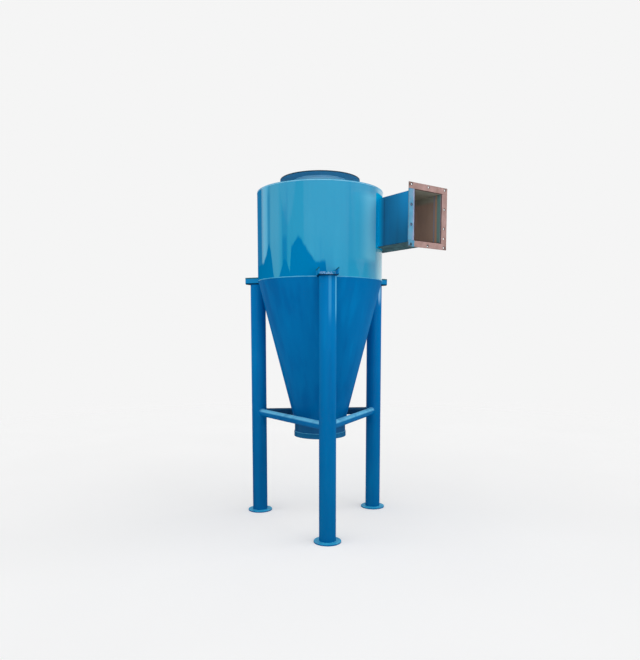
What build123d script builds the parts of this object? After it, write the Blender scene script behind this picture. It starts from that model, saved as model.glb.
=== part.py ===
from build123d import *
import os
from math import cos, radians, sin, sqrt

# Cyclone separator on three pipe legs. Lengths are in mm and angles in degrees.
# The vessel's axis is Z, the floor is z = 0 and the gas inlet faces +X.

# Vessel
body_radius = 450
body_height = 620
seam_height = 1770
cone_height = 1028
vessel_wall = 4
roof_thickness = 6

# Dust outlet below the cone
dust_pipe_radius = 188
dust_pipe_length = 104
collar_height = 36
collar_thickness = 4

# Gas outlet through the roof
outlet_radius = 190
outlet_wall = 4
outlet_rise = 96
finder_depth = 460
outlet_flange_radius = 285
outlet_flange_thickness = 8
outlet_bolt_circle_radius = 270
outlet_bolt_count = 12
outlet_bolt_hole_radius = 7

# Gas inlet, a rectangular duct whose outer wall is tangent to the body
duct_width = 250
duct_height = 323
duct_wall = 4
duct_rise = 222
duct_reach = 755
duct_lap = 20

# Frame of angle bars round the inlet's mouth
cross_bar_leg = 40
cross_bar_thickness = 4
side_bar_leg = 50
side_bar_thickness = 5
inlet_bolt_gauge = 26
inlet_bolt_hole_radius = 7
inlet_holes_across = 3
inlet_holes_up = 4
extra_hole_rise = 60
bar_root_share = 1.1

# Legs, their feet and the channel ears that carry the vessel
leg_count = 3
first_leg_angle = -30
leg_radius = 57
leg_wall = 4
leg_stand_off = 15
foot_radius = 93
foot_thickness = 8
ear_width = 132
ear_height = 50
ear_thickness = 6
ear_bend_radius = 6
ear_overhang = 15

# Tie pipes between the legs, their middle a little above the cone's end
brace_radius = 28.5
brace_wall = 3.5
brace_rise = 40

# Clearance where a welded piece meets a round one, and how far a cut runs past what it cuts
weld_gap = 0.3
overrun = 10

# Heights and places that follow from the sizes above
body_top = seam_height + body_height
shell_top = body_top - roof_thickness
cone_end = seam_height - cone_height
dust_pipe_end = cone_end - dust_pipe_length
outlet_top = body_top + outlet_rise
finder_end = body_top - finder_depth

duct_outer_face = body_radius + weld_gap + duct_wall
duct_inner_face = duct_outer_face - duct_width
duct_middle = (duct_outer_face + duct_inner_face) / 2
duct_floor = seam_height + duct_rise
duct_roof = duct_floor + duct_height
duct_centre_height = (duct_floor + duct_roof) / 2
passage_low = duct_floor + duct_wall
passage_high = duct_roof - duct_wall
passage_near = duct_inner_face + duct_wall
passage_far = duct_outer_face - duct_wall
# The body leaves the duct's tangent wall by one wall thickness at this distance along X
window_start = sqrt(body_radius**2 - (body_radius - vessel_wall) ** 2)

# The cross bars' legs along the duct end flush with those of the side bars
cross_bar_notch = side_bar_leg - side_bar_thickness
inlet_hole_width = duct_width + 2 * inlet_bolt_gauge
inlet_hole_height = duct_height + 2 * inlet_bolt_gauge

leg_circle_radius = body_radius + leg_stand_off + leg_radius
leg_top = seam_height - ear_thickness
leg_angles = [first_leg_angle + number * 360 / leg_count for number in range(leg_count)]
brace_height = cone_end + brace_rise

os.makedirs("parts", exist_ok=True)


def on_leg_circle(angle, height):
    """Point on the leg circle at an angle from +X and a height above the floor."""
    return Vector(leg_circle_radius * cos(radians(angle)), leg_circle_radius * sin(radians(angle)), height)


def ring(outer, inner):
    """Flat ring in the sketch under way."""
    Circle(outer)
    Circle(inner, mode=Mode.SUBTRACT)


# Vessel: a rolled shell with a window for the inlet, a cone below it and a flat roof
with BuildPart() as body_shell:
    with BuildSketch(Plane.XY.offset(seam_height)):
        ring(body_radius, body_radius - vessel_wall)
    extrude(amount=shell_top - seam_height)
    with BuildSketch(Plane.XY.offset(passage_low)):
        with Locations((window_start, passage_near)):
            Rectangle(body_radius, passage_far - passage_near, align=(Align.MIN, Align.MIN))
    extrude(amount=passage_high - passage_low, mode=Mode.SUBTRACT)
body_shell.part.label = "body_shell"
export_step(body_shell.part, "parts/body_shell.step")

# The cone's wall is measured level, so its ends match the shell above and the pipe below
with BuildPart() as cone:
    with BuildSketch(Plane.XZ):
        with BuildLine():
            Polyline(
                (body_radius, seam_height),
                (body_radius - vessel_wall, seam_height),
                (dust_pipe_radius - vessel_wall, cone_end),
                (dust_pipe_radius, cone_end),
                close=True,
            )
        make_face()
    revolve(axis=Axis.Z)
cone.part.label = "cone"
export_step(cone.part, "parts/cone.step")

with BuildPart() as roof_plate:
    with BuildSketch(Plane.XY.offset(shell_top)):
        ring(body_radius, outlet_radius + weld_gap)
    extrude(amount=roof_thickness)
roof_plate.part.label = "roof_plate"
export_step(roof_plate.part, "parts/roof_plate.step")

# Dust outlet: a short pipe with a collar round its end
with BuildPart() as dust_outlet_pipe:
    with BuildSketch(Plane.XY.offset(dust_pipe_end)):
        ring(dust_pipe_radius, dust_pipe_radius - vessel_wall)
    extrude(amount=dust_pipe_length)
dust_outlet_pipe.part.label = "dust_outlet_pipe"
export_step(dust_outlet_pipe.part, "parts/dust_outlet_pipe.step")

with BuildPart() as dust_outlet_collar:
    with BuildSketch(Plane.XY.offset(dust_pipe_end)):
        ring(dust_pipe_radius + weld_gap + collar_thickness, dust_pipe_radius + weld_gap)
    extrude(amount=collar_height)
dust_outlet_collar.part.label = "dust_outlet_collar"
export_step(dust_outlet_collar.part, "parts/dust_outlet_collar.step")

# Gas outlet: the pipe hangs through the roof and ends inside the body, below the inlet
with BuildPart() as outlet_pipe:
    with BuildSketch(Plane.XY.offset(finder_end)):
        ring(outlet_radius, outlet_radius - outlet_wall)
    extrude(amount=outlet_top - finder_end)
outlet_pipe.part.label = "outlet_pipe"
export_step(outlet_pipe.part, "parts/outlet_pipe.step")

with BuildPart() as outlet_flange:
    with BuildSketch(Plane.XY.offset(outlet_top)):
        ring(outlet_flange_radius, outlet_radius + weld_gap)
        with PolarLocations(outlet_bolt_circle_radius, outlet_bolt_count):
            Circle(outlet_bolt_hole_radius, mode=Mode.SUBTRACT)
    extrude(amount=-outlet_flange_thickness)
outlet_flange.part.label = "outlet_flange"
export_step(outlet_flange.part, "parts/outlet_flange.step")


def cut_to_body():
    """Trim the piece under way to the round of the body."""
    with Locations((0, 0, seam_height)):
        Cylinder(body_radius + weld_gap, 2 * body_height, mode=Mode.SUBTRACT)


# Inlet duct: two side walls of full height, with the floor and the roof between them
with BuildPart() as duct_outer_wall:
    with BuildSketch(Plane.XY.offset(duct_floor)):
        with Locations((-duct_lap, passage_far)):
            Rectangle(duct_reach + duct_lap, duct_wall, align=(Align.MIN, Align.MIN))
    extrude(amount=duct_height)
duct_outer_wall.part.label = "duct_outer_wall"
export_step(duct_outer_wall.part, "parts/duct_outer_wall.step")

with BuildPart() as duct_inner_wall:
    with BuildSketch(Plane.XY.offset(duct_floor)):
        with Locations((0, duct_inner_face)):
            Rectangle(duct_reach, duct_wall, align=(Align.MIN, Align.MIN))
    extrude(amount=duct_height)
    cut_to_body()
duct_inner_wall.part.label = "duct_inner_wall"
export_step(duct_inner_wall.part, "parts/duct_inner_wall.step")

for plate_name, plate_height in (("duct_floor_plate", duct_floor), ("duct_roof_plate", passage_high)):
    with BuildPart() as duct_plate:
        with BuildSketch(Plane.XY.offset(plate_height)):
            with Locations((window_start, passage_near)):
                Rectangle(
                    duct_reach - window_start,
                    passage_far - passage_near,
                    align=(Align.MIN, Align.MIN),
                )
        extrude(amount=duct_wall)
        cut_to_body()
    duct_plate.part.label = plate_name
    export_step(duct_plate.part, f"parts/{plate_name}.step")


def angle_bar(heel, outward, along, length, notch, leg, thickness, holes):
    """Rolled angle bar, heel on the duct's edge and one leg standing out in the mouth's plane.

    The leg that lies on the duct is cut away over the notch's length at both ends.
    """
    bar_start = Plane(origin=heel, x_dir=outward, z_dir=along)
    with BuildPart() as bar:
        with BuildSketch(bar_start):
            Rectangle(leg, thickness, align=(Align.MIN, Align.MIN))
        extrude(amount=length)
        with BuildSketch(bar_start.offset(notch)) as section:
            with BuildLine():
                Polyline(
                    (0, 0),
                    (leg, 0),
                    (leg, thickness),
                    (thickness, thickness),
                    (thickness, leg),
                    (0, leg),
                    close=True,
                )
            make_face()
            root = section.vertices().sort_by_distance((thickness, thickness))[0]
            fillet(root, bar_root_share * thickness)
        extrude(amount=length - 2 * notch)
        with BuildSketch(Plane.YZ.offset(duct_reach)):
            with Locations(*holes):
                Circle(inlet_bolt_hole_radius)
        extrude(amount=-(thickness + overrun), mode=Mode.SUBTRACT)
    return bar


# Frame of the inlet's mouth: the cross bars run the full width, and the side bars fit between them
holes_across = [
    duct_middle + inlet_hole_width * (column / (inlet_holes_across - 1) - 1 / 2)
    for column in range(inlet_holes_across)
]
holes_up = [
    duct_centre_height + inlet_hole_height * (row / (inlet_holes_up - 1) - 1 / 2)
    for row in range(inlet_holes_up)
]
top_holes = [(across, holes_up[-1]) for across in holes_across]
bottom_holes = [(across, holes_up[0]) for across in holes_across]
inner_holes = [(holes_across[0], height) for height in holes_up[1:-1]]
outer_holes = [(holes_across[-1], height) for height in holes_up[1:-1]]
outer_holes.append((holes_across[-1], holes_up[0] + extra_hole_rise))

inlet_bar_top = angle_bar(
    (duct_reach, duct_outer_face + side_bar_leg, duct_roof),
    (0, 0, 1),
    (0, -1, 0),
    duct_width + 2 * side_bar_leg,
    cross_bar_notch,
    cross_bar_leg,
    cross_bar_thickness,
    top_holes,
)
inlet_bar_top.part.label = "inlet_bar_top"
export_step(inlet_bar_top.part, "parts/inlet_bar_top.step")

inlet_bar_bottom = angle_bar(
    (duct_reach, duct_inner_face - side_bar_leg, duct_floor),
    (0, 0, -1),
    (0, 1, 0),
    duct_width + 2 * side_bar_leg,
    cross_bar_notch,
    cross_bar_leg,
    cross_bar_thickness,
    bottom_holes,
)
inlet_bar_bottom.part.label = "inlet_bar_bottom"
export_step(inlet_bar_bottom.part, "parts/inlet_bar_bottom.step")

inlet_bar_outer = angle_bar(
    (duct_reach, duct_outer_face, duct_floor),
    (0, 1, 0),
    (0, 0, 1),
    duct_height,
    0,
    side_bar_leg,
    side_bar_thickness,
    outer_holes,
)
inlet_bar_outer.part.label = "inlet_bar_outer"
export_step(inlet_bar_outer.part, "parts/inlet_bar_outer.step")

inlet_bar_inner = angle_bar(
    (duct_reach, duct_inner_face, duct_roof),
    (0, -1, 0),
    (0, 0, -1),
    duct_height,
    0,
    side_bar_leg,
    side_bar_thickness,
    inner_holes,
)
inlet_bar_inner.part.label = "inlet_bar_inner"
export_step(inlet_bar_inner.part, "parts/inlet_bar_inner.step")

# Each leg stands on a round foot plate and carries the body on a channel-shaped ear
for number, angle in enumerate(leg_angles, start=1):
    outward = Vector(cos(radians(angle)), sin(radians(angle)), 0)
    sideways = Vector(-sin(radians(angle)), cos(radians(angle)), 0)

    with BuildPart() as foot_plate:
        with BuildSketch(Plane(on_leg_circle(angle, 0))):
            Circle(foot_radius)
        extrude(amount=foot_thickness)
    foot_plate.part.label = f"foot_plate_{number}"
    export_step(foot_plate.part, f"parts/foot_plate_{number}.step")

    with BuildPart() as leg:
        with BuildSketch(Plane(on_leg_circle(angle, foot_thickness))):
            ring(leg_radius, leg_radius - leg_wall)
        extrude(amount=leg_top - foot_thickness)
    leg.part.label = f"leg_{number}"
    export_step(leg.part, f"parts/leg_{number}.step")

    with BuildPart() as ear:
        with BuildSketch(Plane(origin=(0, 0, leg_top), x_dir=sideways, z_dir=outward)):
            with BuildLine():
                FilletPolyline(
                    (-ear_width / 2, ear_height),
                    (-ear_width / 2, 0),
                    (ear_width / 2, 0),
                    (ear_width / 2, ear_height),
                    radius=ear_bend_radius + ear_thickness,
                )
                offset(amount=ear_thickness, side=Side.LEFT)
            make_face()
        extrude(amount=leg_circle_radius + leg_radius + ear_overhang)
        cut_to_body()
    ear.part.label = f"leg_ear_{number}"
    export_step(ear.part, f"parts/leg_ear_{number}.step")

# Tie pipes run from leg to leg, with their ends coped to the legs' round
for number, angle in enumerate(leg_angles, start=1):
    near = on_leg_circle(angle, brace_height)
    far = on_leg_circle(angle + 360 / leg_count, brace_height)
    with BuildPart() as brace:
        with BuildSketch(Plane(origin=near, z_dir=far - near)):
            ring(brace_radius, brace_radius - brace_wall)
        extrude(amount=(far - near).length)
        with Locations(near, far):
            Cylinder(leg_radius + weld_gap, 2 * brace_radius + overrun, mode=Mode.SUBTRACT)
    brace.part.label = f"leg_brace_{number}"
    export_step(brace.part, f"parts/leg_brace_{number}.step")
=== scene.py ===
import math

import bpy
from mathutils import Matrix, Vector


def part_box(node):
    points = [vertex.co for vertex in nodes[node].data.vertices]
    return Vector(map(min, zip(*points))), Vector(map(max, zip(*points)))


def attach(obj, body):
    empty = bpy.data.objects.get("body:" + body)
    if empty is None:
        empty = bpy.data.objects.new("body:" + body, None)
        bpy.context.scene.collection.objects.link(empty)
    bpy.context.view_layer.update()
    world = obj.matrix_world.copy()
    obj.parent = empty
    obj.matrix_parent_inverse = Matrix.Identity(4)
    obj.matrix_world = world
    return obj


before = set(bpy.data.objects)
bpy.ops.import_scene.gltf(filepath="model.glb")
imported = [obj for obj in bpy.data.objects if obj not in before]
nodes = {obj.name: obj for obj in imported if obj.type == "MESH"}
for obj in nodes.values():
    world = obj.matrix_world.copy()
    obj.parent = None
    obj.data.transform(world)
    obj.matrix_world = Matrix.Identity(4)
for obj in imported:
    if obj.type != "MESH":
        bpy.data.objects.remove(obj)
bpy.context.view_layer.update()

# The camera fitted to the photograph
picture_height = 660
focal_pixels = 596.95
principal_pixel_height = 392.46
sensor_size = 36
camera_bearing = math.radians(54.5)
camera_distance = 4.42
camera_height = 1.407
camera_pitch = math.radians(5.81)
view_limit = 200

# Sizes read from the solids
seam_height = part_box("cone")[1].z
cone_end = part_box("cone")[0].z
body_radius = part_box("cone")[1].x
roof_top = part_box("roof_plate")[1].z
shell_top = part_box("body_shell")[1].z
neck_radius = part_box("outlet_pipe")[1].x
flange_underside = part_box("outlet_flange")[0].z
flange_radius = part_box("outlet_flange")[1].x
dust_pipe_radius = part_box("dust_outlet_pipe")[1].x
collar_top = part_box("dust_outlet_collar")[1].z

duct_low, duct_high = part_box("duct_outer_wall")
duct_floor = duct_low.z
duct_roof = duct_high.z
duct_outer_face = duct_high.y
duct_wall = duct_high.y - duct_low.y
duct_inner_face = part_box("duct_inner_wall")[0].y
duct_mouth = duct_high.x
duct_start = duct_low.x
duct_middle = (duct_inner_face + duct_outer_face) / 2
duct_centre = (duct_floor + duct_roof) / 2
cross_bar_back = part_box("inlet_bar_top")[0].x
side_bar_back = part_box("inlet_bar_inner")[0].x

leg_numbers = (1, 2, 3)
leg_axes = [(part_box(f"leg_{n}")[0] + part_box(f"leg_{n}")[1]) / 2 for n in leg_numbers]
leg_radius = (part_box("leg_2")[1].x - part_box("leg_2")[0].x) / 2
leg_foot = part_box("leg_1")[0].z
leg_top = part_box("leg_1")[1].z
ear_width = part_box("leg_ear_2")[1].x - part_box("leg_ear_2")[0].x
ear_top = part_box("leg_ear_2")[1].z
brace_low, brace_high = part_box("leg_brace_3")
brace_radius = (brace_high.z - brace_low.z) / 2
brace_height = (brace_high.z + brace_low.z) / 2


# The roughness of the clear gloss over every paint
coat_roughness = 0.05


class Shader:
    """A node tree under way, with a short call for each kind of node that it needs."""

    def __init__(self, tree):
        self.tree = tree
        self.tree.nodes.clear()
        self.place = self.add("TexCoord").outputs["Object"]
        self.apart = self.add("SeparateXYZ", {"Vector": self.place}).outputs

    def add(self, kind, inputs=None, **settings):
        """A node; an input given as a socket is linked, and any other is set."""
        made = self.tree.nodes.new("ShaderNode" + kind)
        for name, value in settings.items():
            setattr(made, name, value)
        for name, value in (inputs or {}).items():
            if isinstance(value, bpy.types.NodeSocket):
                self.tree.links.new(value, made.inputs[name])
            elif made.inputs[name].type == "RGBA":
                made.inputs[name].default_value = (*value, 1)
            else:
                made.inputs[name].default_value = value
        return made

    def math(self, operation, *values, **settings):
        return self.add("Math", dict(enumerate(values)), operation=operation, **settings).outputs[0]

    def times(self, first, *others):
        for other in others:
            first = self.math("MULTIPLY", first, other)
        return first

    def plus(self, first, second):
        return self.math("ADD", first, second)

    def minus(self, first, second):
        return self.math("SUBTRACT", first, second)

    def rest(self, share):
        """What is left of 1."""
        return self.minus(1.0, share)

    def most(self, first, second):
        return self.math("MAXIMUM", first, second)

    def distance(self, first, second):
        """How far two numbers lie apart."""
        return self.math("ABSOLUTE", self.minus(first, second))

    def length(self, first, second):
        """Length of the line that goes this far two ways at a right angle."""
        return self.math("SQRT", self.plus(self.times(first, first), self.times(second, second)))

    def over(self, value, limit):
        """1 where the value is over the limit."""
        return self.math("GREATER_THAN", value, limit)

    def under(self, value, limit):
        """1 where the value is under the limit."""
        return self.math("LESS_THAN", value, limit)

    def noise(self, scale, detail=2.0, stretch=(1, 1, 1), offset=(0, 0, 0)):
        """Noise from 0 to 1, with this many cells a metre, drawn out where stretch is under 1."""
        place = self.add("Mapping", {"Vector": self.place, "Scale": stretch, "Location": offset})
        noise = self.add("TexNoise", {"Vector": place.outputs[0], "Scale": scale, "Detail": detail})
        return noise.outputs["Fac"]

    def ramp(self, value, low, high, start=0.0, end=1.0):
        """A smooth step from start to end as the value goes from low to high."""
        inputs = {"Value": value, "From Min": low, "From Max": high, "To Min": start, "To Max": end}
        return self.add("MapRange", inputs, interpolation_type="SMOOTHSTEP").outputs["Result"]

    def between(self, value, low, high, soft):
        """1 where the value lies between low and high, with soft ends."""
        rise = self.ramp(value, low - soft, low + soft)
        return self.times(rise, self.ramp(value, high - soft, high + soft, 1, 0))

    def wander(self, value, noise, width):
        """The value moved either way by noise, over this width in all."""
        return self.plus(value, self.times(self.minus(noise, 0.5), width))

    def turn(self, x=0.0, y=0.0):
        """Angle from +X round the upright line at x and y, in degrees."""
        turned = self.math("ARCTAN2", self.minus(self.apart["Y"], y), self.minus(self.apart["X"], x))
        return self.times(turned, 180 / math.pi)

    def from_axis(self, x=0.0, y=0.0):
        """Distance from the upright line at x and y, which is the vessel's axis by default."""
        return self.length(self.minus(self.apart["X"], x), self.minus(self.apart["Y"], y))

    def facing(self):
        """The direction that the surface faces, apart in X, Y and Z."""
        return self.add("SeparateXYZ", {"Vector": self.add("NewGeometry").outputs["Normal"]}).outputs

    def faces_down(self):
        """1 on the undersides."""
        return self.under(self.facing()["Z"], -0.5)

    def mix(self, share, first, second):
        """The first colour where the share is 0 and the second where it is 1."""
        inputs = {0: share, 6: first, 7: second}
        return self.add("Mix", inputs, data_type="RGBA", clamp_factor=True).outputs[2]

    def shade(self, colour, share):
        """The colour times a number."""
        return self.add("VectorMath", {0: colour, 3: share}, operation="SCALE").outputs[0]

    def edges(self, radius):
        """How far the surface turns within a radius: 0 on a flat, towards 1 on an edge."""
        rounded = self.add("Bevel", {"Radius": radius}, samples=4).outputs[0]
        true = self.add("NewGeometry").outputs["Normal"]
        dot = self.add("VectorMath", {0: rounded, 1: true}, operation="DOT_PRODUCT").outputs["Value"]
        return self.rest(dot)

    def bump(self, height, strength, distance, normal=None):
        inputs = {"Height": height, "Strength": strength, "Distance": distance}
        if normal is not None:
            inputs["Normal"] = normal
        return self.add("Bump", inputs).outputs[0]

    def seen(self):
        """1 for what the camera sees directly, in a mirror or through glass."""
        path = self.add("LightPath").outputs
        mirrored = self.plus(path["Is Glossy Ray"], path["Is Transmission Ray"])
        return self.math("ADD", path["Is Camera Ray"], mirrored, use_clamp=True)

    def finish(self, colour, roughness, normal, specular, coat=0.0):
        """Ends a material in one shader; specular is a plain number."""
        surface = self.add(
            "BsdfPrincipled",
            {
                "Base Color": colour,
                "Roughness": roughness,
                "Normal": normal,
                "Specular IOR Level": specular,
                "Coat Weight": coat,
                "Coat Roughness": coat_roughness,
            },
        )
        self.end(surface, "OutputMaterial")

    def end(self, surface, kind):
        self.tree.links.new(surface.outputs[0], self.add(kind).inputs["Surface"])


def new_material(name):
    """A material and the shader under way in it."""
    material = bpy.data.materials.new(name)
    material.use_nodes = True
    return material, Shader(material.node_tree)


rust_brown = (0.10, 0.045, 0.028)
rust_orange = (0.27, 0.10, 0.04)
stain_dark = (0.12, 0.085, 0.06)
stain_pale = (0.20, 0.13, 0.09)
enamel_roughness = 0.3
added_stain_roughness = 0.3


def enamel(name, tones, sky_highlight, coat=0.1, level_coat=0.6, floor_shade=1.0, inside=None, extra=None):
    """Enamel on plate: uneven coats, faint runs, a painted sky highlight on level faces, chips and rust on
    edges.

    The tones are deep, plain and pale, and at the floor, as painted shade, they have a share of their
    strength at the seam. The gloss comes from the coat. Inside gives the faces that are stained instead, and
    extra changes colour and coat and gives the faces that the painted sky highlight keeps off.
    """
    material, s = new_material(name)
    clouds = s.noise(1.6, 3)
    runs = s.noise(16, 3, (1, 1, 0.05))
    tone = s.plus(s.times(clouds, 0.55), s.times(runs, 0.45))
    colour = s.mix(s.ramp(tone, 0.36, 0.52), tones[0], tones[1])
    colour = s.mix(s.ramp(tone, 0.52, 0.68), colour, tones[2])
    # Painted shade: the tones darken towards the floor, as if less light reached the lower parts
    colour = s.shade(colour, s.ramp(s.apart["Z"], 0.0, seam_height, floor_shade, 1.0))
    level = s.ramp(s.facing()["Z"], 0.3, 0.85)
    if extra is not None:
        colour, coat, no_sky_highlight = extra(s, colour, coat)
        level = s.times(level, s.rest(no_sky_highlight))
    # Painted sky highlight: level faces paler, standing for the bright sky that they reflect
    colour = s.mix(s.times(level, s.ramp(s.noise(14, 5), 0.3, 0.7, 0.6, 1.0)), colour, sky_highlight)
    coat = s.plus(coat, s.times(level, s.minus(level_coat, coat)))

    specks = s.ramp(s.noise(260, 2), 0.70, 0.76)
    patches = s.ramp(s.noise(11, 4, (1, 1, 0.5), (3, 1, 2)), 0.55, 0.68)
    edge = s.times(s.ramp(s.edges(0.003), 0.03, 0.16), s.ramp(s.noise(45, 4), 0.60, 0.68))
    bare = s.most(s.times(specks, patches), edge)
    colour = s.mix(bare, colour, s.mix(s.noise(90, 3), rust_brown, rust_orange))

    roughness = s.plus(enamel_roughness, s.ramp(s.noise(5, 4), 0.3, 0.8, 0.0, 0.12))
    if inside is not None:
        hidden = inside(s)
        stain = s.ramp(s.noise(7, 5, (1, 1, 0.25)), 0.35, 0.7)
        colour = s.mix(hidden, colour, s.mix(stain, stain_dark, stain_pale))
        roughness = s.plus(roughness, s.times(hidden, added_stain_roughness))

    peel = s.bump(s.noise(420, 2), 0.05, 0.001)
    waves = s.bump(s.noise(7, 2, (1, 1, 0.2)), 0.10, 0.02, peel)
    scars = s.bump(s.rest(bare), 0.3, 0.0006, waves)
    s.finish(colour, roughness, scars, 0.0, coat)
    return material


# The inlet's frame: the width of its bars, its bolts from the duct's centre, and marks on it
side_bar = 0.05
cross_bar = 0.04
bolt_across = 0.151
bolt_up = 0.1875
bolt_step = 0.125
hole_radius = 0.0075
hole_rim_radius = 0.0115
corner_across = 0.045
corner_up = 0.040
corner_full = 0.012
corner_rust = (0.085, 0.05, 0.04)
# Painted shade round the bolt holes, where their insides are dark
hole_shade = (0.02, 0.03, 0.04)


def frame_marks(s, colour):
    """Brown corners on the inlet's frame and painted shade in a dark rim round each of its bolt holes."""
    across = s.distance(s.apart["Y"], duct_middle)
    up = s.distance(s.apart["Z"], duct_centre)
    wide = (duct_outer_face - duct_inner_face) / 2 + side_bar
    high = (duct_roof - duct_floor) / 2 + cross_bar
    corner = s.times(
        s.ramp(across, wide - corner_across, wide - corner_full),
        s.ramp(up, high - corner_up, high - corner_full),
        s.ramp(s.noise(38, 4), 0.36, 0.60, 0.15, 0.95),
    )
    colour = s.mix(corner, colour, corner_rust)

    side_up = s.minus(s.math("MODULO", up, bolt_step), bolt_step / 2)
    side = s.length(s.minus(across, bolt_across), side_up)
    middle = s.length(across, s.minus(up, bolt_up))
    reach = s.math("MINIMUM", side, middle)
    return s.mix(s.ramp(reach, hole_radius, hole_rim_radius, 0.85, 0.0), colour, hole_shade)


def primer(name, plain, highlight_tint, worn, cover, cover_colour):
    """Matt primer on bar steel: blotchy, brown along its edges, with scuffs, specks and a cover coat."""
    material, s = new_material(name)
    blotches = s.ramp(s.noise(16, 4), 0.35, 0.65)
    colour = s.mix(blotches, plain, highlight_tint)
    streaks = s.ramp(s.noise(60, 3, (1, 0.25, 0.25)), 0.5, 0.72, 0, 0.6)
    colour = s.mix(streaks, colour, worn)
    colour = s.mix(cover(s), colour, s.shade(cover_colour, s.ramp(blotches, 0, 1, 0.85, 1.15)))
    colour = frame_marks(s, colour)
    edge = s.times(s.ramp(s.edges(0.004), 0.01, 0.12), s.ramp(s.noise(40, 4), 0.30, 0.62, 0.35, 1))
    colour = s.mix(edge, colour, rust_brown)
    specks = s.ramp(s.noise(170, 2), 0.66, 0.74)
    colour = s.mix(specks, colour, rust_orange)
    roughness = s.ramp(s.noise(30, 3), 0.3, 0.7, 0.47, 0.7)
    grain = s.bump(s.noise(300, 4), 0.25, 0.0006)
    pits = s.bump(s.rest(specks), 0.4, 0.0006, grain)
    s.finish(colour, roughness, pits, 0.2)
    return material


# Half the thickness of a wall, to tell its inner face from its outer one
half_wall = 0.002


def inside_vessel(s):
    """1 on the inner face of a wall round the vessel's axis, and on the roof's underside."""
    slope = (body_radius - dust_pipe_radius) / (seam_height - cone_end)
    rise = s.math("MINIMUM", s.most(s.minus(s.apart["Z"], cone_end), 0.0), seam_height - cone_end)
    wall = s.plus(s.times(rise, slope), dust_pipe_radius - half_wall)
    under_roof = s.under(s.apart["Z"], roof_top - half_wall)
    return s.times(s.under(s.from_axis(), wall), under_roof)


def inside_pipe(s):
    """1 on the inner face of the gas outlet pipe."""
    return s.under(s.from_axis(), neck_radius - half_wall)


def inside_duct(s):
    """1 on the faces of the duct's walls that the gas passes."""
    across = s.distance(s.apart["Y"], duct_middle)
    up = s.distance(s.apart["Z"], duct_centre)
    half_width = (duct_outer_face - duct_inner_face - duct_wall) / 2
    half_height = (duct_roof - duct_floor - duct_wall) / 2
    return s.times(s.under(across, half_width), s.under(up, half_height))


# Painted dark reflection on the body, of the things round it, rising from the seam in peaks: its upper line
# as (degrees from +X, height above the seam)
dark_reflection_line = (
    (-180, 0.06),
    (-150, 0.16),
    (-130, 0.06),
    (-120, 0.14),
    (-95, 0.12),
    (-89, 0.19),
    (-86, 0.262),
    (-83, 0.19),
    (-80, 0.05),
    (-79, 0.00),
    (-74, 0.00),
    (-71, 0.06),
    (-67, 0.15),
    (-64, 0.10),
    (-62, 0.03),
    (-60.5, 0.21),
    (-54, 0.286),
    (-40, 0.116),
    (-31, 0.116),
    (-30, 0.00),
    (62, 0.00),
    (95, 0.19),
    (120, 0.03),
    (150, 0.10),
    (180, 0.06),
)
line_raggedness = 0.05
line_softness = 0.032
dark_reflection_colour = (0.0, 0.21, 0.485)

# Thin streaks of the painted dark reflection down the body, as (angle, half width, height of the top above
# the seam, share)
dark_reflection_streaks = (
    (-86.2, 2.0, 0.62, 0.42),
    (-67.0, 2.3, 0.33, 0.75),
    (-67.0, 2.6, 0.50, 0.33),
    (-64.4, 0.7, 0.62, 0.2),
    (-35.0, 0.8, 0.30, 0.15),
)
streak_softness = 0.5
streak_fade = 0.1

# The same painted dark reflection in an upright strip of full height on the side away from the duct
left_reflection_start = -146
left_reflection_full = -126
left_reflection_end = -98.9
left_reflection_softness = 0.8
left_reflection_share = 0.95

# A brighter colour without gloss in a band on the body beside the duct, in degrees from +X and metres above
# the floor
band_start = 22.6
band_start_softness = 0.3
band_fade_start = 46
band_fade_end = 54
band_low = duct_floor - 0.014
band_high = duct_roof + 0.037
band_softness = 0.004
band_colour = (0.0, 0.42, 0.74)

# Painted light between the band and the body's front: a paler colour over enamel with less gloss
dull_start = -14
dull_full = -2
dull_pale = 15
dull_end = band_start + 1
dull_low = band_low - 0.09
dull_high = duct_roof + 0.01
dull_softness = 0.03
dull_least_share = 0.25
dull_painted_light_colour = (0.15, 0.55, 0.77)
dull_coat = 0.15

# Less gloss on the front, and least near the seam; full gloss on the right and left, in degrees from +X
seam_coat = 0.45
front_coat = 0.62
full_coat_height = 0.35
gloss_right_start = 0
gloss_right_full = 18
gloss_left_start = -84
gloss_left_full = -92

# Painted highlights on the body's sides: paler enamel standing for reflected sky, as (start and end angle,
# softness, share, colour)
side_highlights = (
    (-96, -87, 1.5, 0.45, (0.11, 0.62, 0.93)),
    (-84, -72, 3, 0.18, (0.20, 0.58, 0.77)),
    (26, 75, 6, 0.85, (0.25, 0.66, 0.82)),
)

# Pale daubs where the front ear meets the body
daub_start = -38
daub_end = -19
daub_turn_softness = 1.0
daub_low = 0.012
daub_high = 0.030
daub_softness = 0.003
daub_colour = (0.30, 0.54, 0.74)


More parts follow.
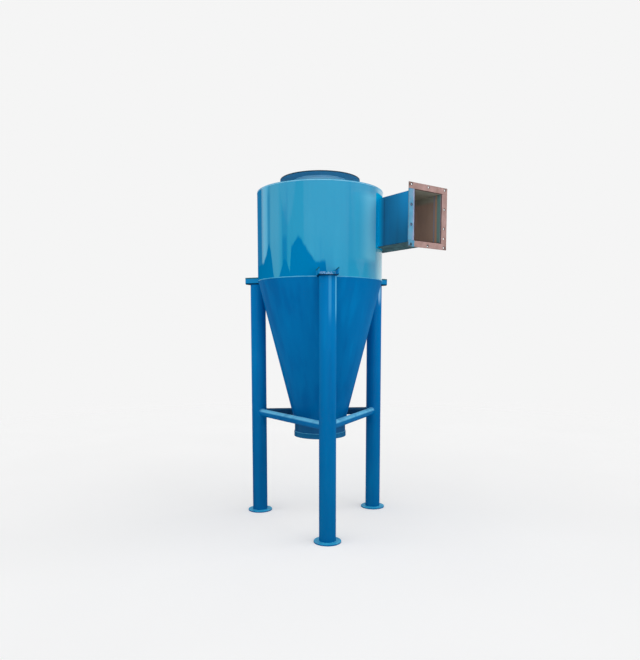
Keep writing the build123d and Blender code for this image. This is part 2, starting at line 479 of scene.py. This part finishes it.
def dark_reflection_share(s, turn, height):
    """1 where the painted dark reflection lies on the body: peaks above the seam, streaks and the upright
    strip.
    """
    curve = s.add("FloatCurve", {"Value": s.plus(s.times(turn, 1 / 360), 0.5)})
    points = curve.mapping.curves[0].points
    tallest = max(top for _, top in dark_reflection_line)
    while len(points) < len(dark_reflection_line):
        points.new(0.5, 0.5)
    for point, (angle, top) in zip(points, dark_reflection_line):
        point.location = ((angle + 180) / 360, top / tallest)
        point.handle_type = "VECTOR"
    curve.mapping.update()
    line = s.wander(s.times(curve.outputs[0], tallest), s.noise(38, 4, (1, 1, 0.15)), line_raggedness)
    second = s.ramp(s.minus(line, height), 0.0, line_softness)
    for angle, half_width, top, share in dark_reflection_streaks:
        streak = s.between(turn, angle - half_width, angle + half_width, streak_softness)
        second = s.most(second, s.times(streak, s.ramp(height, top - streak_fade, top, share, 0)))
    left_reflection = s.times(
        s.ramp(turn, left_reflection_start, left_reflection_full),
        s.ramp(turn, left_reflection_end - left_reflection_softness, left_reflection_end + left_reflection_softness, left_reflection_share, 0),
    )
    return s.most(second, left_reflection)


def body_extra(s, colour, coat):
    """The painted dark reflection, the band beside the duct, painted light in duller and paler places, and
    the daubs.
    """
    turn = s.turn()
    height = s.minus(s.apart["Z"], seam_height)
    # second is the share of the painted dark reflection
    second = dark_reflection_share(s, turn, height)

    dull = s.times(
        s.ramp(turn, dull_start, dull_full),
        s.ramp(turn, band_start, dull_end, 1, 0),
        s.between(s.apart["Z"], dull_low, dull_high, dull_softness),
    )
    front = s.ramp(height, 0, full_coat_height, seam_coat, front_coat)
    right = s.ramp(turn, gloss_right_start, gloss_right_full)
    left = s.ramp(turn, gloss_left_full, gloss_left_start, 1, 0)
    coat = s.times(coat, s.most(front, s.most(right, left)), s.ramp(dull, 0, 1, 1.0, dull_coat))
    # Painted light: a paler colour standing for reflected sky, where the gloss is less
    dull_painted_light_share = s.times(dull, s.ramp(turn, dull_full, dull_pale, dull_least_share, 1.0))
    colour = s.mix(dull_painted_light_share, colour, dull_painted_light_colour)

    # Painted highlights on the body's sides
    for start, end, soft, share, highlight_tint in side_highlights:
        colour = s.mix(s.times(s.between(turn, start, end, soft), share), colour, highlight_tint)

    # Painted dark reflection over the enamel
    colour = s.mix(second, colour, dark_reflection_colour)
    band = s.times(
        s.ramp(turn, band_start - band_start_softness, band_start + band_start_softness),
        s.ramp(turn, band_fade_start, band_fade_end, 1, 0),
        s.between(s.apart["Z"], band_low, band_high, band_softness),
    )
    colour = s.mix(band, colour, band_colour)
    coat = s.times(s.rest(s.most(second, band)), coat)

    daub = s.times(
        s.between(turn, daub_start, daub_end, daub_turn_softness),
        s.between(height, daub_low, daub_high, daub_softness),
        s.ramp(s.noise(70, 3), 0.42, 0.55),
    )
    return s.mix(daub, colour, daub_colour), coat, 0.0


# The duct's outside, with places along it as metres from the vessel's axis
duct_root_start = 0.405
duct_root_end = 0.464
root_line_width = 0.005
root_line_softness = 0.001
root_line_share = 0.6
root_line_colour = (0.01, 0.05, 0.10)
duct_far_share = 0.9
duct_far_colour = (0.02, 0.34, 0.72)
grime_colour = (0.085, 0.155, 0.165)
mouth_edge = 0.0015
mouth_edge_shade = (0.05, 0.025, 0.025)

# Inside the duct: brown dust, greenish under its roof, with spilled paint near the mouth
dust_deep_in = (0.53, 0.39, 0.33)
dust_near_mouth = (0.37, 0.27, 0.22)
dust_under_roof = (0.36, 0.37, 0.31)
dust_change_start = 0.50
dust_change_end = 0.66
roof_dust_start = duct_roof - 0.055
roof_dust_full = duct_roof - 0.0275
spills = (
    (0.686, 0.697, (0.24, 0.29, 0.40)),
    (0.701, 0.715, (0.47, 0.30, 0.20)),
    (0.718, 0.747, (0.13, 0.30, 0.30)),
    (0.749, 0.760, (0.24, 0.25, 0.35)),
)
spill_raggedness = 0.008
spill_softness = 0.0015
spill_share = 0.85


def duct_dust(s):
    """The colour of the dust and spilled paint on the duct's inner faces."""
    x, z = s.apart["X"], s.apart["Z"]
    dust = s.mix(s.ramp(x, dust_change_start, dust_change_end), dust_deep_in, dust_near_mouth)
    dust = s.mix(s.ramp(z, roof_dust_start, roof_dust_full), dust, dust_under_roof)
    dust = s.shade(dust, s.ramp(s.noise(9, 5, (1, 1, 0.3)), 0.3, 0.7, 0.88, 1.08))
    along = s.wander(x, s.noise(9, 3, (1, 1, 0.5)), spill_raggedness)
    outer_wall = s.over(s.apart["Y"], duct_outer_face - 3 * duct_wall)
    for start, end, spill in spills:
        share = s.times(s.between(along, start, end, spill_softness), spill_share, outer_wall)
        dust = s.mix(share, dust, spill)
    return dust


def duct_extra(s, colour, coat):
    """Brighter towards the mouth's top, the band's colour at the root, grime below, dust inside."""
    x = s.apart["X"]
    far = s.times(s.ramp(x, duct_root_end, duct_mouth), s.ramp(s.apart["Z"], duct_floor, duct_roof))
    colour = s.mix(s.times(far, duct_far_share), colour, duct_far_colour)
    inner_wall = s.under(s.apart["Y"], duct_inner_face + duct_wall / 2)
    root = s.ramp(x, duct_root_start, duct_root_end, 1.0, 0.0)
    colour = s.mix(s.times(root, inner_wall), colour, band_colour)
    line = s.between(x, duct_root_end, duct_root_end + root_line_width, root_line_softness)
    colour = s.mix(s.times(line, inner_wall, root_line_share), colour, root_line_colour)
    below = s.faces_down()
    colour = s.mix(below, colour, s.shade(grime_colour, s.ramp(s.noise(25, 4), 0.3, 0.7, 0.7, 1.3)))

    hidden = inside_duct(s)
    colour = s.mix(hidden, colour, duct_dust(s))
    # Painted shade: dark brown on the duct's end faces at the mouth, for the shadow under the frame's bars
    colour = s.mix(s.over(x, duct_mouth - mouth_edge), colour, mouth_edge_shade)
    return colour, s.times(s.rest(s.most(below, hidden)), coat), hidden


leg_tones = ((0.0, 0.155, 0.44), (0.0, 0.187, 0.505), (0.001, 0.228, 0.57))

# Painted highlights down from the ears: (leg, start and end angle round it, share, full and whole length,
# colour)
leg_highlights = (
    (1, 22, 46, 0.95, 0.19, 0.34, (0.10, 0.50, 0.82)),
    (1, -31, -12, 0.3, 0.19, 0.34, (0.10, 0.50, 0.82)),
    (2, -7, 17, 0.85, 0.09, 0.17, (0.30, 0.62, 0.90)),
)
leg_highlight_softness = 2

# The ears, in bands: (lowest and highest height, softness, colour); a painted highlight in the middle, then
# painted shade along the top and bottom edges; the last two keep off level faces
ear_colour = (0.0, 0.20, 0.46)
ear_start = seam_height + 0.002
ear_rim = ear_top - 0.009
ear_middle_highlight = (seam_height + 0.006, ear_rim, 0.002, (0.01, 0.26, 0.58))
ear_edge_shades = (
    (ear_rim, ear_top + 0.01, 0.001, (0.012, 0.13, 0.17)),
    (seam_height - 0.007, seam_height + 0.002, 0.001, (0.0, 0.03, 0.08)),
)
level_limit = 0.5

# The tie pipes, told from the legs by height, with a painted highlight on their tops
tie_low = brace_height - 2 * brace_radius
tie_high = brace_height + 2 * brace_radius
tie_softness = 0.001
tie_top_highlight = (0.15, 0.53, 0.80)


def leg_extra(s, colour, coat):
    """Painted highlights down two legs, ears with a painted highlight in the middle and painted shade on
    their edges, and a painted highlight on the tie pipes' tops.
    """
    z = s.apart["Z"]
    for number, start, end, share, full, whole, highlight_tint in leg_highlights:
        axis = leg_axes[number - 1]
        streak = s.between(s.turn(axis.x, axis.y), start, end, leg_highlight_softness)
        high = s.ramp(z, seam_height - whole, seam_height - full)
        near = s.under(s.from_axis(axis.x, axis.y), 2 * leg_radius)
        colour = s.mix(s.times(streak, high, share, near), colour, highlight_tint)

    colour = s.mix(s.over(z, ear_start), colour, ear_colour)
    # Painted highlight in the ears' middle band, then painted shade along their top and bottom edges
    low, high, soft, middle_highlight = ear_middle_highlight
    colour = s.mix(s.between(z, low, high, soft), colour, middle_highlight)
    not_level = s.under(s.facing()["Z"], level_limit)
    for low, high, soft, edge_shade in ear_edge_shades:
        colour = s.mix(s.times(s.between(z, low, high, soft), not_level), colour, edge_shade)

    tie = s.between(z, tie_low, tie_high, tie_softness)
    # Painted highlight on the tie pipes' tops, standing for the bright sky that they reflect
    top = s.times(s.ramp(s.facing()["Z"], 0.2, 0.6), s.ramp(s.noise(12, 4), 0.35, 0.6, 0.65, 1.0))
    return s.mix(s.times(tie, top), colour, tie_top_highlight), coat, tie


flange_rim = flange_radius - 0.001
flange_rim_colour = (0.008, 0.05, 0.09)
# Painted light on the flange's underside, which lies in the flange's own shade
flange_underside_painted_light = (0.15, 0.39, 0.56)


def flange_extra(s, colour, coat):
    """A darker rim on the top flange, and painted light on its underside in the neck's paler enamel."""
    colour = s.mix(s.over(s.from_axis(), flange_rim), colour, flange_rim_colour)
    return s.mix(s.faces_down(), colour, flange_underside_painted_light), coat, 0.0


# The way that the rear tie's outer side faces, and how far round it the legs' enamel fades
rear_tie_bearing = math.radians(150)
outer_fade_start = 0.15
outer_fade_end = 0.6


def rear_tie_extra(s, colour, coat):
    """The legs' enamel on the rear tie's outer side, and painted shade on the side towards the dust outlet.
    """
    facing = s.facing()
    outward = s.plus(
        s.times(facing["X"], math.cos(rear_tie_bearing)),
        s.times(facing["Y"], math.sin(rear_tie_bearing)),
    )
    return s.mix(s.ramp(outward, outer_fade_start, outer_fade_end), colour, leg_tones[1]), coat, 0.0


# Where the frame's coats end beside the duct's inner face
bare_edge_start = duct_inner_face - 0.016
bare_edge_full = duct_inner_face - 0.006
bare_edge_raggedness = 0.012
bare_edge_share = 0.8
inner_corner_edge = duct_inner_face - 0.006
inner_corner_raggedness = 0.02


def bare_edge(s):
    """1 along the inner bar's edge at the mouth, where its coat is thin."""
    across = s.wander(s.apart["Y"], s.noise(60, 3), bare_edge_raggedness)
    return s.ramp(across, bare_edge_start, bare_edge_full, 0, bare_edge_share)


def inner_corner(s):
    """1 on the lower cross bar where it runs past the duct's inner side, under the duct's floor."""
    edge = s.plus(inner_corner_edge, s.times(s.noise(60, 3), inner_corner_raggedness))
    return s.times(s.under(s.apart["Y"], edge), s.under(s.apart["Z"], duct_centre))


# The materials: for enamel the deep, plain and pale tone, then the colour of the painted sky highlight on
# level faces
body_paint = enamel(
    "body_enamel",
    ((0.001, 0.295, 0.535), (0.004, 0.325, 0.565), (0.014, 0.36, 0.60)),
    (0.03, 0.36, 0.60),
    coat=1.0,
    level_coat=1.0,
    inside=inside_vessel,
    extra=body_extra,
)
# Pale enamel on the neck and its welds: painted light where the flange's shade falls on it
neck_paint = enamel(
    "neck_enamel",
    ((0.35, 0.70, 0.88), (0.40, 0.75, 0.93), (0.45, 0.79, 0.96)),
    (0.26, 0.64, 0.88),
    coat=0.3,
    inside=inside_pipe,
)
# Pale enamel for the seam and collar welds: a painted highlight along them
seam_paint = enamel(
    "seam_enamel",
    ((0.03, 0.36, 0.62), (0.06, 0.42, 0.68), (0.12, 0.50, 0.76)),
    (0.12, 0.50, 0.76),
    coat=0.3,
)
# Paler enamel for the roof's rim weld: a painted highlight along the rim
roof_seam_paint = enamel(
    "roof_seam_enamel",
    ((0.18, 0.56, 0.82), (0.24, 0.63, 0.87), (0.31, 0.70, 0.92)),
    (0.30, 0.66, 0.86),
    coat=0.5,
)
flange_paint = enamel(
    "flange_enamel",
    ((0.03, 0.25, 0.50), (0.045, 0.31, 0.60), (0.08, 0.37, 0.67)),
    (0.04, 0.32, 0.60),
    extra=flange_extra,
)
cone_paint = enamel(
    "cone_enamel",
    ((0.0, 0.138, 0.405), (0.0, 0.17, 0.465), (0.0, 0.205, 0.525)),
    (0.03, 0.28, 0.55),
    coat=0.05,
    floor_shade=0.68,
    inside=inside_vessel,
)
dust_outlet_paint = enamel(
    "dust_outlet_enamel",
    ((0.002, 0.078, 0.20), (0.006, 0.103, 0.265), (0.012, 0.14, 0.34)),
    (0.03, 0.20, 0.40),
    inside=inside_vessel,
)
collar_paint = enamel(
    "collar_enamel",
    ((0.002, 0.10, 0.24), (0.006, 0.125, 0.29), (0.015, 0.17, 0.36)),
    (0.05, 0.30, 0.50),
    inside=inside_vessel,
)
leg_paint = enamel(
    "leg_enamel",
    leg_tones,
    (0.05, 0.50, 0.80),
    coat=0.06,
    level_coat=0.25,
    floor_shade=0.65,
    extra=leg_extra,
)
# Dark enamel that paints shade: on the rear tie's inner side and on the welds in the duct's inner corners
shaded_tones = ((0.0, 0.03, 0.09), (0.003, 0.045, 0.12), (0.008, 0.07, 0.16))
shaded_sky_highlight = (0.02, 0.10, 0.20)
shaded_paint = enamel("shaded_enamel", shaded_tones, shaded_sky_highlight, coat=0.05)
rear_tie_paint = enamel(
    "rear_tie_enamel",
    shaded_tones,
    shaded_sky_highlight,
    coat=0.05,
    level_coat=0.25,
    extra=rear_tie_extra,
)
duct_paint = enamel(
    "duct_enamel",
    ((0.014, 0.115, 0.23), (0.013, 0.145, 0.30), (0.012, 0.175, 0.37)),
    (0.02, 0.25, 0.48),
    extra=duct_extra,
)

# Primer's plain, pale and worn colours, then where another coat covers it and that coat's colour
overspray = (0.085, 0.31, 0.49)
bar_primer = primer(
    "bar_primer",
    (0.38, 0.24, 0.22),
    (0.48, 0.31, 0.29),
    (0.28, 0.16, 0.13),
    inner_corner,
    overspray,
)
bar_overspray = primer(
    "bar_overspray",
    overspray,
    (0.11, 0.36, 0.54),
    (0.24, 0.34, 0.50),
    bare_edge,
    (0.33, 0.37, 0.55),
)

node_materials = {
    "body_shell": body_paint,
    "roof_plate": body_paint,
    "outlet_pipe": neck_paint,
    "outlet_flange": flange_paint,
    "cone": cone_paint,
    "dust_outlet_pipe": dust_outlet_paint,
    "dust_outlet_collar": collar_paint,
    "leg_brace_2": rear_tie_paint,
    "inlet_bar_top": bar_primer,
    "inlet_bar_bottom": bar_primer,
    "inlet_bar_outer": bar_primer,
    "inlet_bar_inner": bar_overspray,
}
for name, node in nodes.items():
    if name in node_materials:
        material = node_materials[name]
    elif name.startswith("duct"):
        material = duct_paint
    else:
        material = leg_paint
    node.material_slots[0].material = material


def smooth_piece(name, vertices, faces, material):
    """A smooth mesh piece that rides on the object."""
    mesh = bpy.data.meshes.new(name)
    mesh.from_pydata(vertices, [], faces)
    mesh.polygons.foreach_set("use_smooth", [True] * len(mesh.polygons))
    mesh.materials.append(material)
    mesh.update()
    piece = bpy.data.objects.new(name, mesh)
    bpy.context.scene.collection.objects.link(piece)
    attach(piece, "root")


# Weld beads: the steps along and across, the height as a share of half the width, and how deep they sit
bead_step = 0.0018
bead_sides = 6
bead_rise = 0.7
bead_sink = 0.0004

# Ripples across a bead that lag at its sides, and slow swells, as (share of the width, turn a metre, phases)
ripple_pitch = 0.0065
ripple_depth = 0.10
ripple_lag = 0.0022
swells = ((0.10, 61, 1), (0.06, 173, 2))


def bead(name, path, width, material, closed=False, phase=0.0):
    """Weld bead along a path of (point, outward direction), with the crescent ripples of its making."""
    points = [Vector(point) for point, _ in path]
    outs = [Vector(out).normalized() for _, out in path]
    if closed:
        points.append(points[0])
        outs.append(outs[0])
    vertices = []
    travelled = 0.0
    rows = 0
    spans = list(zip(points, points[1:], outs, outs[1:]))
    for number, (start, end, out_start, out_end) in enumerate(spans):
        span = (end - start).length
        steps = max(1, round(span / bead_step))
        along = (end - start).normalized()
        last_row = 0 if closed or number < len(spans) - 1 else 1
        for step in range(steps + last_row):
            share = step / steps
            place = start.lerp(end, share)
            out = out_start.lerp(out_end, share).normalized()
            side = along.cross(out).normalized()
            here = travelled + span * share
            swell = 1 + sum(deep * math.sin(here * rate + times * phase) for deep, rate, times in swells)
            half = width / 2 * swell
            for corner in range(bead_sides + 1):
                angle = math.pi * corner / bead_sides
                lag = ripple_lag * math.cos(angle) ** 2
                ripple = 1 + ripple_depth * math.sin((here + lag) * 2 * math.pi / ripple_pitch)
                rise = bead_rise * half * math.sin(angle) * ripple - bead_sink
                vertices.append(place + side * (half * math.cos(angle)) + out * rise)
            rows += 1
        travelled += span
    faces = []
    across = bead_sides + 1
    for row in range(rows if closed else rows - 1):
        first = row * across
        second = (row + 1) % rows * across
        for corner in range(bead_sides):
            faces.append((first + corner, first + corner + 1, second + corner + 1, second + corner))
    smooth_piece(name, vertices, faces, material)


def ring_path(radius, height, tilt, centre=(0, 0), count=96):
    """Circle round a vertical axis; tilt turns the outward direction up from level, in degrees."""
    level = math.cos(math.radians(tilt))
    rise = Vector((0, 0, math.sin(math.radians(tilt))))
    path = []
    for number in range(count):
        angle = 2 * math.pi * number / count
        out = Vector((math.cos(angle), math.sin(angle), 0))
        point = Vector((centre[0], centre[1], height)) + out * radius
        path.append((point, out * level + rise))
    return path


# Welds round the vessel's axis, as (name, radius, height, tilt, points, width, paint, slot)
collar_weld_radius = dust_pipe_radius + 0.001
round_welds = (
    ("weld_seam", body_radius, seam_height, 0, 180, 0.006, seam_paint, "cone_paint"),
    ("weld_roof_rim", body_radius, shell_top, 0, 180, 0.005, roof_seam_paint, "body_paint"),
    ("weld_neck_roof", neck_radius, roof_top, 45, 96, 0.009, neck_paint, "body_paint"),
    ("weld_neck_flange", neck_radius, flange_underside, -45, 96, 0.008, neck_paint, "body_paint"),
    ("weld_cone_end", dust_pipe_radius, cone_end, 0, 96, 0.007, cone_paint, "cone_paint"),
    ("weld_collar", collar_weld_radius, collar_top, 45, 96, 0.006, seam_paint, "cone_paint"),
)
for number, (name, radius, height, tilt, count, width, paint, slot) in enumerate(round_welds):
    bead(name, ring_path(radius, height, tilt, count=count), width, paint, True, number)

leg_weld_width = 0.008
leg_weld_points = 48
for number, axis in zip(leg_numbers, leg_axes):
    centre = (axis.x, axis.y)
    foot = ring_path(leg_radius, leg_foot, 45, centre, leg_weld_points)
    head = ring_path(leg_radius, leg_top, -45, centre, leg_weld_points)
    bead(f"weld_foot_{number}", foot, leg_weld_width, leg_paint, True, number)
    bead(f"weld_leg_head_{number}", head, leg_weld_width, leg_paint, True, number + 5)


def cope_path(leg_axis, toward, count=40):
    """The line where a level pipe meets a leg, with the direction halfway between their surfaces."""
    side = toward.cross(Vector((0, 0, 1)))
    path = []
    for number in range(count):
        angle = 2 * math.pi * number / count
        lateral = brace_radius * math.cos(angle)
        rise = brace_radius * math.sin(angle)
        reach = math.sqrt(leg_radius**2 - lateral**2)
        offset = toward * reach + side * lateral
        point = Vector((leg_axis.x, leg_axis.y, brace_height)) + offset + Vector((0, 0, rise))
        out = offset.normalized() + (side * lateral + Vector((0, 0, rise))).normalized()
        path.append((point, out))
    return path


brace_weld_width = 0.010
for number, axis in zip(leg_numbers, leg_axes):
    for other, other_axis in zip(leg_numbers, leg_axes):
        if other != number:
            path = cope_path(axis, (other_axis - axis).normalized())
            name = f"weld_brace_{number}_to_{other}"
            bead(name, path, brace_weld_width, leg_paint, True, number + 3 * other)


def on_body(y, height, out_step):
    """A point on the body's +X side at this y, and the direction between the body and the duct's face."""
    x = math.sqrt(max(body_radius**2 - y**2, 0))
    return (Vector((x, y, height)), Vector((x, y, 0)).normalized() + Vector(out_step))


# How far short of the tangent line the duct's welds to the body stop
tangent_gap = 0.0004


def duct_to_body(height, out_step, count=40):
    """The line where a level plate of the duct meets the body, short of where they are tangent."""
    last = body_radius - tangent_gap
    ys = [duct_inner_face + (last - duct_inner_face) * number / count for number in range(count + 1)]
    return [on_body(y, height, out_step) for y in ys]


# Welds from the duct to the body, as (name, line, width)
duct_sides = (duct_inner_face, duct_outer_face)
duct_levels = (duct_floor, duct_roof)
inner_line = [on_body(duct_inner_face, z, (0, -1, 0)) for z in (duct_floor, duct_centre, duct_roof)]
outer_line = [((duct_start, duct_outer_face - duct_wall / 2, z), (-1, 0.4, 0)) for z in duct_levels]
duct_welds = (
    ("weld_duct_floor", duct_to_body(duct_floor, (0, 0, -1)), 0.007),
    ("weld_duct_roof", duct_to_body(duct_roof, (0, 0, 1)), 0.007),
    ("weld_duct_inner", inner_line, 0.008),
    ("weld_duct_outer", outer_line, 0.007),
)
for number, (name, line, width) in enumerate(duct_welds):
    bead(name, line, width, duct_paint, phase=number)

# Welds along the duct's corners, from the body or the outer wall's start nearly to the mouth, in dark enamel
# as painted shade in the corners
plate_weld_width = 0.005
corner_end = duct_mouth - 0.01
outer_corner_start = 0.02
corner_lines = (
    ("inner", math.sqrt(body_radius**2 - duct_inner_face**2), duct_inner_face + duct_wall),
    ("outer", outer_corner_start, duct_outer_face - duct_wall),
)
for side_name, start, y in corner_lines:
    for plate_name, z, up in (("floor", duct_floor, -1), ("roof", duct_roof, 1)):
        line = [((start, y, z), (0, 0, up)), ((corner_end, y, z), (0, 0, up))]
        name = f"weld_corner_{side_name}_{plate_name}"
        bead(name, line, plate_weld_width, shaded_paint, phase=y + z)

# Welds from the duct's outside to the backs of the frame's bars
bar_lines = {
    "top": [((cross_bar_back, y, duct_roof), (-1, 0, 1)) for y in duct_sides],
    "bottom": [((cross_bar_back, y, duct_floor), (-1, 0, -1)) for y in duct_sides],
    "inner": [((side_bar_back, duct_inner_face, z), (-1, -1, 0)) for z in duct_levels],
    "outer": [((side_bar_back, duct_outer_face, z), (-1, 1, 0)) for z in duct_levels],
}
for name, line in bar_lines.items():
    bead(f"weld_bar_{name}", line, plate_weld_width, duct_paint, phase=len(name))


def ear_path(axis):
    """Down one flange of an ear, across its web and up the other, where the ear meets the body."""
    outward = Vector((axis.x, axis.y, 0)).normalized()
    sideways = Vector((-outward.y, outward.x, 0))
    half = ear_width / 2
    path = []
    for across, height, out in (
        (-half, ear_top, -1),
        (-half, seam_height, -1),
        (half, seam_height, 1),
        (half, ear_top, 1),
    ):
        forward = math.sqrt(body_radius**2 - across**2)
        point = outward * forward + sideways * across + Vector((0, 0, height))
        path.append((point, outward + sideways * out))
    return path


for number, axis in zip(leg_numbers, leg_axes):
    line = ear_path(axis)
    bead(f"weld_ear_{number}_a", line[:2], leg_weld_width, leg_paint, phase=number)
    bead(f"weld_ear_{number}_b", line[2:], leg_weld_width, leg_paint, phase=number + 7)

# Floor, world and lamps
backdrop_white = 0.913
world_light = 0.5
floor_white = 0.80
floor_lift = 0.24
floor_radius = 14
floor_sides = 64
floor_fade_start = 3.5
floor_fade_end = 9
lamp_distance = 6


def pale_floor():
    """A pale disc that keeps the object's shadow and fades into the backdrop far out."""
    material, s = new_material("floor_pale")
    distance = s.add("VectorMath", {0: s.place}, operation="LENGTH").outputs["Value"]
    shade = s.shade((floor_white, floor_white, floor_white), s.ramp(s.noise(0.8, 3), 0.3, 0.7, 0.99, 1.01))
    lit = s.add("BsdfDiffuse", {"Color": shade})
    lift = s.add("Emission", {"Color": (1, 1, 1), "Strength": s.times(s.seen(), floor_lift)})
    solid = s.add("AddShader", {0: lit.outputs[0], 1: lift.outputs[0]})
    clear = s.add("BsdfTransparent")
    fade = s.ramp(distance, floor_fade_start, floor_fade_end)
    s.end(s.add("MixShader", {0: fade, 1: solid.outputs[0], 2: clear.outputs[0]}), "OutputMaterial")
    rim = []
    for number in range(floor_sides):
        angle = 2 * math.pi * number / floor_sides
        rim.append((floor_radius * math.cos(angle), floor_radius * math.sin(angle), 0))
    mesh = bpy.data.meshes.new("floor")
    mesh.from_pydata(rim, [], [tuple(range(len(rim)))])
    mesh.materials.append(material)
    floor = bpy.data.objects.new("floor", mesh)
    bpy.context.scene.collection.objects.link(floor)


def pale_world():
    """A white room: seen and mirrored as the backdrop, with half its light on the object."""
    world = bpy.data.worlds.new("pale_room")
    bpy.context.scene.world = world
    world.use_nodes = True
    s = Shader(world.node_tree)
    light = s.add("Background", {"Color": (1, 1, 1), "Strength": world_light})
    backdrop = (backdrop_white, backdrop_white, backdrop_white)
    view = s.add("Background", {"Color": backdrop, "Strength": 1.0})
    s.end(s.add("MixShader", {0: s.seen(), 1: light.outputs[0], 2: view.outputs[0]}), "OutputWorld")


def soft_sun(name, bearing, rise, spread, strength):
    """Light from a round patch of sky: degrees right of the camera, above level, and across."""
    data = bpy.data.lights.new(name, "SUN")
    data.energy = strength
    data.angle = math.radians(spread)
    angle = camera_bearing + math.radians(bearing)
    level = math.cos(math.radians(rise))
    direction = Vector((math.sin(angle) * level, -math.cos(angle) * level, math.sin(math.radians(rise))))
    lamp = bpy.data.objects.new(name, data)
    bpy.context.scene.collection.objects.link(lamp)
    lamp.location = Vector((0, 0, seam_height)) + direction * lamp_distance
    lamp.rotation_euler = direction.to_track_quat("Z", "Y").to_euler()


pale_floor()
pale_world()
soft_sun("front_light", bearing=12, rise=14, spread=80, strength=1.0)
soft_sun("right_light", bearing=78, rise=35, spread=60, strength=0.75)
soft_sun("left_light", bearing=-60, rise=40, spread=60, strength=0.55)

# Camera
camera_data = bpy.data.cameras.new("camera")
camera_data.sensor_width = sensor_size
camera_data.lens = focal_pixels / picture_height * sensor_size
camera_data.shift_y = (principal_pixel_height - picture_height / 2) / picture_height
camera_data.clip_end = view_limit
camera = bpy.data.objects.new("camera", camera_data)
bpy.context.scene.collection.objects.link(camera)
camera.location = (
    camera_distance * math.sin(camera_bearing),
    -camera_distance * math.cos(camera_bearing),
    camera_height,
)
camera.rotation_euler = (math.pi / 2 - camera_pitch, 0, camera_bearing)
bpy.context.scene.camera = camera

bpy.context.scene.view_settings.view_transform = "Standard"
